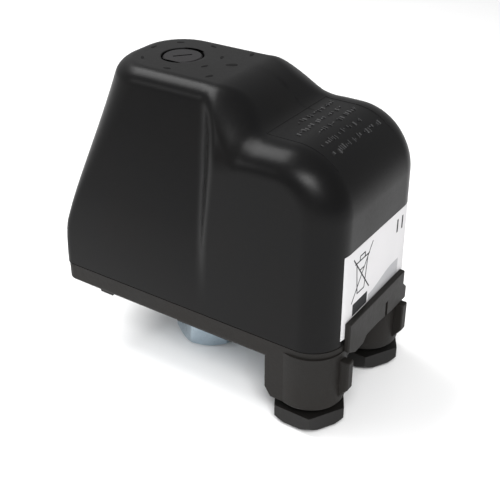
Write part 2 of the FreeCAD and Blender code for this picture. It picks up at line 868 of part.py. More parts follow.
def make_rocker_lever():
    """Rocking lever: a plate over the piston, two pivot cheeks and a tongue to the contacts."""
    low = size("lever_bottom")
    body = new_body("RockerLever")
    sketch = sketch_on(body, "XY_Plane", low)
    carrier = size("carrier_x")
    cheek_face = size("ear_inner") - 0.7
    outline = [
        (-39.5, -7.5),
        (-30, -11),
        (-2, -11),
        (2, -cheek_face),
        (15, -cheek_face),
        (15, -4),
        (carrier + 2.2, -4),
        (carrier + 2.2, 4),
        (15, 4),
        (15, cheek_face),
        (2, cheek_face),
        (-2, 11),
        (-30, 11),
        (-39.5, 7.5),
    ]
    draw_outline(sketch, outline)
    draw_circle(sketch, size("screw_x"), 0, size("stud_radius") + 1.5)
    draw_circle(sketch, size("small_stud_x"), 0, size("small_stud_radius") + 1.3)
    pad(body, sketch, size("lever_thick"))
    pivot_x, pivot_z = size("pivot_x"), size("pivot_z")
    for near in (-cheek_face, cheek_face - 1.5):
        cheek = sketch_on(body, "XZ_Plane", -near)
        profile = [
            (3.0, low + 0.5),
            (15.0, low + 0.5),
            (15.0, pivot_z + 1.5),
            (pivot_x + 2.5, pivot_z + 4.0),
            (pivot_x - 2.5, pivot_z + 4.0),
            (3.0, pivot_z + 0.5),
        ]
        draw_outline(cheek, profile)
        draw_circle(cheek, pivot_x, pivot_z, size("pin_radius") + size("running_gap"))
        feature = pad(body, cheek, as_size(1.5))
        feature.Reversed = True
        document.recompute()
    return body


def make_spring_seat(x, hole, rim, guide):
    """Pressed cup between a spring and the lever."""
    low = size("lever_bottom") + size("lever_thick") + 0.02
    cup = union(rod(x, 0, (low, low + 1.2), rim), rod(x, 0, (low + 1.1, low + 3.4), guide))
    return cut(cup, rod(x, 0, (low - 1, low + 5), hole))


def make_range_stud():
    """Threaded pillar for the range spring, bored at its top for the cover screw."""
    x, radius = size("screw_x"), size("stud_radius")
    low = size("floor_top")
    foot = rod(x, 0, (low + 0.3, low + 2.0), radius - 0.52)
    collar = rod(x, 0, (low + 1.55, low + 4.5), radius + 2.0)
    shaft = rod(x, 0, (low + 4.4, 86), radius)
    head = hexagon(x, 0, (85.9, 92.4), 8.0)
    bore = rod(x, 0, (80, 95), size("pillar_bore_radius"))
    return cut(union(foot, collar, shaft, head), bore)


def make_range_cap():
    """Upper spring plate that the range nut pushes down."""
    x = size("screw_x")
    plate = union(rod(x, 0, (70.4, 72.4), 10.8), rod(x, 0, (68.4, 70.5), 7.0))
    return cut(plate, rod(x, 0, (60, 80), size("stud_radius") + 0.3))


def make_range_nut():
    """Adjusting nut on the pillar's thread."""
    x = size("screw_x")
    flats = 13.0
    head = union(hexagon(x, 0, (73.0, 79.0), flats), rod(x, 0, (72.5, 73.1), 6.3))
    return cut(head, rod(x, 0, (60, 90), size("stud_radius") + size("running_gap")))


def make_small_stud():
    """Thin threaded stud for the differential spring."""
    x, radius = size("small_stud_x"), size("small_stud_radius")
    low = size("floor_top")
    foot = rod(x, 0, (low + 0.3, low + 2.0), radius - 0.42)
    collar = rod(x, 0, (low + 1.55, low + 3.5), radius + 1.8)
    shaft = rod(x, 0, (low + 3.4, 66), radius)
    return union(foot, collar, shaft)


def make_small_cap():
    """Upper plate of the differential spring."""
    x = size("small_stud_x")
    plate = union(rod(x, 0, (55.4, 56.6), 4.8), rod(x, 0, (53.8, 55.5), 3.4))
    return cut(plate, rod(x, 0, (50, 60), size("small_stud_radius") + 0.3))


def make_small_nut():
    """Adjusting nut of the differential spring."""
    x = size("small_stud_x")
    bore = rod(x, 0, (50, 70), size("small_stud_radius") + size("running_gap"))
    return cut(hexagon(x, 0, (56.7, 60.5), 7.0), bore)


# --- contacts ----------------------------------------------------------------------------------


def pole_places():
    """Where the three poles stand across the block."""
    return [size("pole_pitch") * number for number in (-1, 0, 1)]


def terminal_rows():
    """Outer and inner limit of the line and the load terminal strips."""
    line = size("block_left") + 0.2, size("carrier_x") - 2.2
    load = size("block_right") - 0.2, size("carrier_x") + 2.2
    return line, load


def terminal_x(outer, inner):
    """Where the screws of one row of terminals stand."""
    return (outer * 2 + inner) / 3


def make_contact_block():
    """Moulded block with three contact bays, a trench for the carrier and a lever tunnel."""
    left, right = size("block_left"), size("block_right")
    half, top = size("block_half"), size("block_top")
    low = size("floor_top") + 0.02
    carrier = size("carrier_x")
    body = block((left, right), (-half, half), (low, top))
    lugs = [block((23, 31), (-24.4, -21), (low, 29)), block((23, 31), (21, 24.4), (low, 29))]
    trench = block((carrier - 3.4, carrier + 3.4), (-18.5, 18.5), (36.8, 50))
    tunnel = block((left - 1, carrier + 4.4), (-6.6, 6.6), (29.4, 38))
    tools = [trench, tunnel]
    for y in pole_places():
        bay = block((carrier - 4.9, carrier + 4.9), (y - 4.4, y + 4.4), (41, 50))
        tools.append(bay)
        for row in terminal_rows():
            tools.append(rod(terminal_x(*row), y, (39, 50), 1.6))
    for side in (-1, 1):
        tools.append(rod(27, as_size(side * 22.9), (20, 35), 1.6))
    return cut(union(body, *lugs), *tools)


def make_block_screws():
    """Two screws that hold the contact block to the base."""
    screws = []
    for side in (-1, 1):
        y = as_size(side * 22.9)
        head = rod(27, y, (29.02, 30.8), 1.5)
        screws.append(union(head, rod(27, y, (24, 29.1), 1.2)))
    return group(screws)


def make_contact_carrier():
    """Sliding carrier: a stem with a window for the lever's tongue under a crossbar."""
    x = size("carrier_x")
    stem = block((x - 2.6, x + 2.6), (-6.0, 6.0), (31.4, 39.6))
    bar = block((x - 2.6, x + 2.6), (-17.8, 17.8), (39.5, 41.4))
    window = block((x - 4.0, x + 4.0), (-4.5, 4.5), (33.2, 36.4))
    pegs = [rod(x, y, (41.3, 43.4), 0.9) for y in pole_places()]
    return cut(union(stem, bar, *pegs), window)


def make_contact_springs():
    """Three small springs under the contact bridges."""
    x = size("carrier_x")
    springs = []
    for y in pole_places():
        winding = coil("ContactSpring", x, 1.6, 0.3, 41.5, 44.3, 3)
        bind(winding, "Placement.Base.y", y)
        springs.append(winding)
    return group(springs)


def make_contact_bridges():
    """Three moving bridges with a contact rivet at each end."""
    x = size("carrier_x")
    bridges = []
    for y in pole_places():
        strip = block((x - 4.4, x + 4.4), (y - 2.0, y + 2.0), (44.4, 45.2))
        rivets = [rod(x + offset, y, (45.1, 45.7), 1.0) for offset in (-3.3, 3.3)]
        bridges.append(union(strip, *rivets))
    return group(bridges)


def make_fixed_contacts(outer, inner):
    """Three terminal strips that reach from the terminal screw to over the bridge."""
    strips = []
    low, high = (outer, inner) if outer.value < inner.value else (inner, outer)
    screw_x = terminal_x(outer, inner)
    for y in pole_places():
        strip = block((low, high), (y - 3.4, y + 3.4), (46.02, 47.1))
        strips.append(cut(strip, rod(screw_x, y, (40, 50), 1.62)))
    return group(strips)


def make_terminal_screws(outer, inner):
    """Three slotted clamp screws for one row of terminals."""
    screws = []
    x = terminal_x(outer, inner)
    for y in pole_places():
        head = rod(x, y, (48.2, 50.2), 2.7)
        slot = block((x - 3.0, x + 3.0), (y - 0.4, y + 0.4), (49.3, 51))
        shank = rod(x, y, (40.5, 48.3), 1.55)
        screws.append(union(cut(head, slot), shank))
    return group(screws)


def make_wire_clamps(outer, inner):
    """Three saddle plates under the terminal screws."""
    clamps = []
    x = terminal_x(outer, inner)
    for y in pole_places():
        saddle = block((x - 2.6, x + 2.6), (y - 3.2, y + 3.2), (47.15, 48.15))
        clamps.append(cut(saddle, rod(x, y, (40, 50), 1.58)))
    return group(clamps)


def make_earth_plate():
    """Steel strip between the two earth screws."""
    low = size("floor_top") + 0.02
    strip = block((38.4, 44.6), (-7.4, 7.4), (low, low + 1.2))
    return cut(strip, *[rod(41.5, as_size(side * 4.0), (20, 30), 1.6) for side in (-1, 1)])


def make_earth_screws():
    """Two earth screws."""
    screws = []
    low = size("floor_top") + 1.24
    for side in (-1, 1):
        y = as_size(side * 4.0)
        slot = block((38, 45), (y - 0.4, y + 0.4), (low + 1.2, 35))
        head = cut(rod(41.5, y, (low, low + 2.2), 3.1), slot)
        screws.append(union(head, rod(41.5, y, (24, low + 0.1), 1.55)))
    return group(screws)


# --- assembly ----------------------------------------------------------------------------------


def build_pieces():
    """Every sub-part, by the name of its node."""
    line, load = terminal_rows()
    return {
        "cover": make_cover(),
        "cover_screw": make_cover_screw(),
        "screw_retainer": make_screw_retainer(),
        "rating_label": make_rating_label(),
        "base": make_base(),
        "cover_gasket": make_cover_gasket(),
        "front_cable_nut": make_cable_nut(-1),
        "rear_cable_nut": make_cable_nut(1),
        "front_clamp_washer": make_clamp_washer(-1),
        "rear_clamp_washer": make_clamp_washer(1),
        "front_cable_seal": make_cable_seal(-1),
        "rear_cable_seal": make_cable_seal(1),
        "port_connector": make_port_connector(),
        "flange_plate": make_flange_plate(),
        "flange_screws": make_flange_screws(),
        "diaphragm": make_diaphragm(),
        "pressure_plate": make_pressure_plate(),
        "frame": make_frame(),
        "pivot_pin": make_pivot_pin(),
        "pivot_clips": make_pivot_clips(),
        "rocker_lever": make_rocker_lever(),
        "range_spring_seat": make_spring_seat(size("screw_x"), 4.5, 10.8, 7.0),
        "range_stud": make_range_stud(),
        "range_spring": coil("RangeSpring", size("screw_x"), 9.2, 1.25, 37.1, 70.3, 6),
        "range_cap": make_range_cap(),
        "range_nut": make_range_nut(),
        "differential_spring_seat": make_spring_seat(size("small_stud_x"), 3.3, 5.0, 3.6),
        "differential_stud": make_small_stud(),
        "differential_spring": coil("SmallSpring", size("small_stud_x"), 4.3, 0.5, 37.1, 55.3, 7),
        "differential_cap": make_small_cap(),
        "differential_nut": make_small_nut(),
        "contact_block": make_contact_block(),
        "block_screws": make_block_screws(),
        "contact_carrier": make_contact_carrier(),
        "contact_springs": make_contact_springs(),
        "contact_bridges": make_contact_bridges(),
        "line_contacts": make_fixed_contacts(*line),
        "load_contacts": make_fixed_contacts(*load),
        "line_clamps": make_wire_clamps(*line),
        "load_clamps": make_wire_clamps(*load),
        "line_terminal_screws": make_terminal_screws(*line),
        "load_terminal_screws": make_terminal_screws(*load),
        "earth_plate": make_earth_plate(),
        "earth_screws": make_earth_screws(),
    }


def move_to_port(piece):
    """Move a finished piece so that the port's mouth becomes the origin."""
    driven = {path.lstrip("."): text for path, text in piece.ExpressionEngine}
    for axis, length in (("x", size("port_x")), ("z", size("port_mouth"))):
        path = f"Placement.Base.{axis}"
        start = driven.get(path, "0")
        piece.setExpression(path, f"{start} - {length.text}")


def check_document(pieces):
    """Stop if any object failed, or if any sub-part is empty or not valid."""
    for thing in document.Objects:
        if "Invalid" in thing.State or "Error" in thing.State:
            raise RuntimeError(f"{thing.Name} ({thing.Label}) failed: {thing.State}")
    for name, piece in pieces.items():
        if piece.Shape.isNull() or not piece.Shape.isValid() or not piece.Shape.Solids:
            raise RuntimeError(f"{name} has no valid solid")


def main():
    """Build the switch and write one STEP file for each sub-part."""
    fill_sheet()
    pieces = build_pieces()
    for name, piece in pieces.items():
        piece.Label = name
        move_to_port(piece)
    document.recompute()
    check_document(pieces)
    os.makedirs("parts", exist_ok=True)
    for name, piece in pieces.items():
        piece.Shape.exportStep(f"parts/{name}.step")
        print(f"{name}: {len(piece.Shape.Solids)} solid(s), {piece.Shape.Volume:.1f} mm3")


main()
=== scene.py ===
"""Looks of a compressor pressure switch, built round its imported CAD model.

All sizes below are millimetres from the lever train's datum: +Z points up through the cover and +X
to the cable end. Meshes are stored in metres from the mouth of the pressure port, which lies at
PORT from that datum.
"""
import json
import logging
import math
from dataclasses import dataclass, field
from enum import Enum
from typing import Any, Callable

import bmesh
import bpy
import numpy as np
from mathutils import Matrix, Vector


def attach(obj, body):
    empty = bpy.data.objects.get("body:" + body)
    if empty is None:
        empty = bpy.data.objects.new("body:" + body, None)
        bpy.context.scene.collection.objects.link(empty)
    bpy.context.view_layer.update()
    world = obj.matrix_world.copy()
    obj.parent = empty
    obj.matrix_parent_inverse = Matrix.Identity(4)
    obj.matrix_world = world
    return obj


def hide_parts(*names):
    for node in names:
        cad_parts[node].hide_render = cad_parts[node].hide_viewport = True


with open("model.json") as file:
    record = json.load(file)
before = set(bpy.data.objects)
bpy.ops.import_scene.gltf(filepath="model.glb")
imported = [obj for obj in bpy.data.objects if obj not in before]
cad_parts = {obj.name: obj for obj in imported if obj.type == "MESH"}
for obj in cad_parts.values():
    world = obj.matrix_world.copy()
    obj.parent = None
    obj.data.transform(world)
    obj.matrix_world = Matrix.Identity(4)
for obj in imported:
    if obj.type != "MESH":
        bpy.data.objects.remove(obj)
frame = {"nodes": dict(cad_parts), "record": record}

LOG = logging.getLogger("pressure_switch")
MM = 0.001
PORT = np.array([-8.0, 0.0, -2.4])
Grid = np.ndarray
Span = tuple[float, float]


# --- smooth solid shapes -----------------------------------------------------------------------


def fillet(first: Grid, second: Grid, radius: Grid | float) -> Grid:
    """Signed distance to what two solids share, with their common edge rounded.

    Formula: inside the rounding band the distance is the length of both distances, each raised by
    the radius, less the radius; elsewhere it is the larger distance.

    Args:
        first: signed distance to the first solid, negative inside.
        second: signed distance to the second solid.
        radius: radius of the rounding, one number or one per point.

    Returns:
        The signed distance to the rounded intersection.
    """
    across = np.maximum(first + radius, 0.0)
    up = np.maximum(second + radius, 0.0)
    return np.minimum(np.maximum(first, second), -radius) + np.hypot(across, up)


def soft_max(first: Grid, second: Grid, band: Grid | float) -> Grid:
    """Larger of two fields, blended by a parabola where they differ by less than the band."""
    overlap = np.maximum(band - np.abs(first - second), 0.0) / band
    return np.maximum(first, second) + overlap * overlap * band / 4.0


def ease(value: Grid, low: float, high: float) -> Grid:
    """Smooth step from 0 at low to 1 at high: three t squared less two t cubed."""
    share = np.clip((value - low) / (high - low), 0.0, 1.0)
    return share * share * (3.0 - 2.0 * share)


def march(distance: Callable[[Grid], Grid], origin: Grid, heading: Grid, reach: float) -> Grid:
    """Points where rays leave a solid, by halving the interval that holds the surface.

    Args:
        distance: signed distance of points, shape (..., 3) to (...).
        origin: ray starts inside the solid, shape (..., 3).
        heading: unit ray directions of the same shape.
        reach: length at which every ray is outside.

    Returns:
        The points on the surface, shape (..., 3).
    """
    near = np.zeros(origin.shape[:-1])
    far = np.full(origin.shape[:-1], reach)
    for _ in range(30):
        middle = (near + far) / 2.0
        outside = distance(origin + heading * middle[..., None]) > 0.0
        far = np.where(outside, middle, far)
        near = np.where(outside, near, middle)
    return origin + heading * ((near + far) / 2.0)[..., None]


# --- meshes ------------------------------------------------------------------------------------


def wrap_quads(rows: int, columns: int, close_rows: bool, close_columns: bool) -> Grid:
    """Corner indices of the quads of a grid that may close on itself either way."""
    down = np.arange(rows if close_rows else rows - 1)
    along = np.arange(columns if close_columns else columns - 1)
    row, column = np.meshgrid(down, along, indexing="ij")
    next_row, next_column = (row + 1) % rows, (column + 1) % columns
    corners = [
        row * columns + column,
        row * columns + next_column,
        next_row * columns + next_column,
        next_row * columns + column,
    ]
    return np.stack(corners, axis=-1).reshape(-1, 4)


def signed_volume(points: Grid, quads: Grid) -> float:
    """Six times the volume inside a closed mesh of quads; negative when its faces point inwards."""
    a, b, c, d = (points[quads[:, corner]] for corner in range(4))
    return float(np.sum(np.cross(a, b) * c) + np.sum(np.cross(a, c) * d))


@dataclass
class MeshParts:
    """Points and quads gathered from several closed surfaces for one piece."""

    points: list[Grid] = field(default_factory=list)
    quads: list[Grid] = field(default_factory=list)
    count: int = 0

    def add(self, grid: Grid, close_rows: bool = True, close_columns: bool = True) -> None:
        """Add a grid of points, turned so that its faces point outwards.

        Args:
            grid: points in millimetres, shape (rows, columns, 3).
            close_rows: whether the last row joins the first.
            close_columns: whether the last column joins the first.
        """
        rows, columns = grid.shape[:2]
        points = grid.reshape(-1, 3)
        quads = wrap_quads(rows, columns, close_rows, close_columns)
        if signed_volume(points, quads) < 0.0:
            quads = quads[:, ::-1]
        self.points.append(points)
        self.quads.append(quads + self.count)
        self.count += len(points)

    def build(self, name: str, sharp: float = 40.0) -> bpy.types.Object:
        """Make the mesh object in metres, smooth but for edges sharper than an angle.

        Args:
            name: name of the piece.
            sharp: least angle in degrees between faces that stays a crisp edge.

        Returns:
            The new object, at the origin.
        """
        points = (np.concatenate(self.points) - PORT) * MM
        quads = np.concatenate(self.quads)
        mesh = bpy.data.meshes.new(name)
        mesh.vertices.add(len(points))
        mesh.vertices.foreach_set("co", points.astype(np.float32).ravel())
        mesh.loops.add(quads.size)
        mesh.loops.foreach_set("vertex_index", quads.astype(np.int32).ravel())
        mesh.polygons.add(len(quads))
        mesh.polygons.foreach_set("loop_start", np.arange(0, quads.size, 4, dtype=np.int32))
        mesh.update(calc_edges=True)
        weld(mesh)
        mesh.validate()
        mesh.shade_smooth()
        mesh.set_sharp_from_angle(angle=math.radians(sharp))
        piece = bpy.data.objects.new(name, mesh)
        bpy.context.scene.collection.objects.link(piece)
        return piece


def prism(ring: Grid, lift: Grid, taper: float = 1.0) -> Grid:
    """Closed solid on a ring of points: its underside, its wall and a top of tapered size.

    Args:
        ring: corners of the underside in order, shape (corners, 3).
        lift: step from the underside to the top, one vector or one per corner.
        taper: size of the top over that of the underside.

    Returns:
        Rows of points for MeshParts.add with open rows.
    """
    centre = ring.mean(axis=0)
    top = centre + (ring - centre) * taper + lift
    middles = [np.broadcast_to(points.mean(axis=0), ring.shape) for points in (ring, top)]
    return np.stack([middles[0], ring, top, middles[1]])


def sleeve(sections: Grid) -> Grid:
    """Rows of a bar that runs through closed sections, with a middle point added at each end."""
    ends = [np.broadcast_to(section.mean(axis=0), section.shape) for section in sections[[0, -1]]]
    return np.concatenate([ends[0][None], sections, ends[1][None]])


def weld(mesh: bpy.types.Mesh) -> None:
    """Merge points that coincide, as at the poles of a cap, and drop the faces that vanish."""
    work = bmesh.new()
    work.from_mesh(mesh)
    bmesh.ops.remove_doubles(work, verts=work.verts, dist=1e-7)
    bmesh.ops.dissolve_degenerate(work, edges=work.edges, dist=1e-8)
    work.to_mesh(mesh)
    work.free()


# --- shader maths ------------------------------------------------------------------------------


class Shade:
    """A socket of a node tree; arithmetic on it adds Math nodes."""

    def __init__(self, tree: "Tree", socket: bpy.types.NodeSocket) -> None:
        """Wrap an output socket of the tree."""
        self.tree = tree
        self.socket = socket

    def _math(self, operation: str, *values: "Shade | float") -> "Shade":
        """Add one Math node on the given values."""
        return self.tree.node("ShaderNodeMath", {"operation": operation}, dict(enumerate(values)))

    def __add__(self, other: "Shade | float") -> "Shade":
        """Sum."""
        return self._math("ADD", self, other)

    def __radd__(self, other: float) -> "Shade":
        """Sum with the number first."""
        return self._math("ADD", other, self)

    def __sub__(self, other: "Shade | float") -> "Shade":
        """Difference."""
        return self._math("SUBTRACT", self, other)

    def __mul__(self, other: "Shade | float") -> "Shade":
        """Product."""
        return self._math("MULTIPLY", self, other)

    def ramp(self, low: float, high: float) -> "Shade":
        """Smooth step of the value from 0 at low to 1 at high."""
        settings = {"interpolation_type": "SMOOTHSTEP"}
        inputs = {"Value": self, "From Min": low, "From Max": high}
        return self.tree.node("ShaderNodeMapRange", settings, inputs)


Colour = tuple[float, float, float]


class Tree:
    """Node tree of one material, with its shader and its object coordinates."""

    def __init__(self, name: str) -> None:
        """Start a material with only a Principled shader."""
        self.material = bpy.data.materials.new(name)
        self.material.use_nodes = True
        self.nodes = self.material.node_tree.nodes
        self.links = self.material.node_tree.links
        self.nodes.clear()
        output = self.nodes.new("ShaderNodeOutputMaterial")
        self.shader = self.nodes.new("ShaderNodeBsdfPrincipled")
        self.links.new(self.shader.outputs[0], output.inputs[0])
        coordinates = self.nodes.new("ShaderNodeTexCoord")
        self.place = Shade(self, coordinates.outputs["Object"])

    def node(
        self, kind: str, settings: dict[str, Any], inputs: dict[Any, Any], output: int | str = 0
    ) -> Shade:
        """Add any node.

        Args:
            kind: node type.
            settings: properties, set first.
            inputs: socket name or number to a value or a Shade.
            output: which output to return.

        Returns:
            The wanted output socket.
        """
        made = self.nodes.new(kind)
        for name, value in settings.items():
            setattr(made, name, value)
        for name, value in inputs.items():
            if isinstance(value, Shade):
                self.links.new(value.socket, made.inputs[name])
            else:
                made.inputs[name].default_value = value
        return Shade(self, made.outputs[output])

    def noise(self, scale: float, detail: float = 3.0, rough: float = 0.5) -> Shade:
        """Noise over the piece, from 0 to 1, with its scale in waves per metre."""
        inputs = {"Vector": self.place, "Scale": scale, "Detail": detail, "Roughness": rough}
        return self.node("ShaderNodeTexNoise", {}, inputs, "Fac")

    def stretched(self, scale: Colour, detail: float = 2.0) -> Shade:
        """Noise with its own scale along each axis, for brushed or turned streaks."""
        place = self.node("ShaderNodeMapping", {}, {"Vector": self.place, "Scale": scale})
        inputs = {"Vector": place, "Scale": 1.0, "Detail": detail}
        return self.node("ShaderNodeTexNoise", {}, inputs, "Fac")

    def mix(self, share: Shade | float, first: Any, second: Any) -> Shade:
        """Mix of two colours or colour sockets."""
        inputs = {"Factor": share, 6: opaque(first), 7: opaque(second)}
        return self.node("ShaderNodeMix", {"data_type": "RGBA"}, inputs, 2)

    def bump(self, height: Shade, depth: float) -> Shade:
        """Normal of a relief whose full height is the depth in metres."""
        return self.node("ShaderNodeBump", {}, {"Height": height, "Distance": depth, "Strength": 1.0})

    def dress(self, **sockets: Any) -> bpy.types.Material:
        """Set or link shader sockets; underscores in a name stand for spaces.

        Args:
            **sockets: values or Shades by socket name.

        Returns:
            The finished material.
        """
        for name, value in sockets.items():
            socket = self.shader.inputs[name.replace("_", " ")]
            if isinstance(value, Shade):
                self.links.new(value.socket, socket)
            else:
                socket.default_value = opaque(value) if socket.type == "RGBA" else value
        return self.material


def opaque(colour: Any) -> Any:
    """A colour with full alpha; anything else is passed on."""
    if isinstance(colour, tuple) and len(colour) == 3:
        return (*colour, 1.0)
    return colour


# --- finishes ----------------------------------------------------------------------------------


@dataclass(frozen=True)
class Moulding:
    """Moulded plastic: fine spark-eroded grain, flow clouds and paler worn spots; on the raised marks
    the paler colour and spots are painted glints.
    """

    name: str
    colour: Colour
    rubbed_and_glint: Colour
    roughness: float
    grain: float = 2600.0
    depth: float = 0.00004
    gloss: float = 0.5
    wear_and_glint: float = 0.12

    def material(self) -> bpy.types.Material:
        """Build the material."""
        tree = Tree(self.name)
        clouds = tree.noise(38.0, 4.0)
        grain = tree.noise(self.grain, 2.0, 0.6)
        pores = tree.noise(self.grain * 0.31, 3.0)
        # Paler spots: wear on most mouldings; on the raised marks they are painted glints.
        scuffs_and_glints = tree.stretched((900.0, 260.0, 700.0), 4.0).ramp(0.66, 0.80) * self.wear_and_glint
        warm = tree.mix(clouds.ramp(0.35, 0.7) * 0.55, self.colour, tint(self.colour, 1.25, 1.1, 1.0))
        colour = tree.mix(scuffs_and_glints, warm, self.rubbed_and_glint)
        rough = self.roughness + (clouds - 0.5) * 0.16 + (pores - 0.5) * 0.10 + scuffs_and_glints * 0.25
        return tree.dress(
            Base_Color=colour,
            Roughness=rough,
            Specular_IOR_Level=self.gloss,
            Normal=tree.bump(grain * 0.7 + pores * 0.5, self.depth),
        )


def tint(colour: Colour, red: float, green: float, blue: float) -> Colour:
    """A colour with each channel scaled."""
    return (colour[0] * red, colour[1] * green, colour[2] * blue)


@dataclass(frozen=True)
class Plated:
    """Zinc-plated or bare steel and brass: fine streaks, cloudy plating and dull spots."""

    name: str
    colour: Colour
    dull: Colour
    roughness: float
    streaks: Colour = (500.0, 500.0, 9000.0)
    depth: float = 0.00001

    def material(self) -> bpy.types.Material:
        """Build the material."""
        tree = Tree(self.name)
        streaks = tree.stretched(self.streaks, 3.0)
        clouds = tree.noise(140.0, 4.0)
        spots = tree.noise(900.0, 2.0).ramp(0.62, 0.75)
        colour = tree.mix(clouds.ramp(0.35, 0.75) * 0.6 + spots * 0.2, self.colour, self.dull)
        rough = self.roughness + (streaks - 0.5) * 0.18 + clouds * 0.08 + spots * 0.12
        return tree.dress(
            Base_Color=colour,
            Roughness=rough,
            Metallic=1.0,
            Normal=tree.bump(streaks + clouds * 0.3, self.depth),
        )


@dataclass(frozen=True)
class Soft:
    """Rubber: matt, with a dusty bloom and fine pits."""

    name: str
    colour: Colour
    bloom: Colour

    def material(self) -> bpy.types.Material:
        """Build the material."""
        tree = Tree(self.name)
        dust = tree.noise(90.0, 5.0).ramp(0.45, 0.75)
        pits = tree.noise(3200.0, 2.0)
        return tree.dress(
            Base_Color=tree.mix(dust * 0.5, self.colour, self.bloom),
            Roughness=0.72 + dust * 0.18,
            Specular_IOR_Level=0.35,
            Normal=tree.bump(pits, 0.00003),
        )


@dataclass(frozen=True)
class Sheet:
    """Printed film: faint fibres, a slow shading of the print and a satin face."""

    name: str
    colour: Colour
    shade: Colour
    roughness: float = 0.42

    def material(self) -> bpy.types.Material:
        """Build the material."""
        tree = Tree(self.name)
        slow = tree.noise(30.0, 3.0).ramp(0.3, 0.8)
        fibre = tree.noise(4200.0, 3.0)
        colour = tree.mix(slow * 0.7 + (fibre - 0.5) * 0.3, self.colour, self.shade)
        return tree.dress(
            Base_Color=colour,
            Roughness=self.roughness + (fibre - 0.5) * 0.2,
            Normal=tree.bump(fibre, 0.000008),
        )


# --- cover -------------------------------------------------------------------------------------


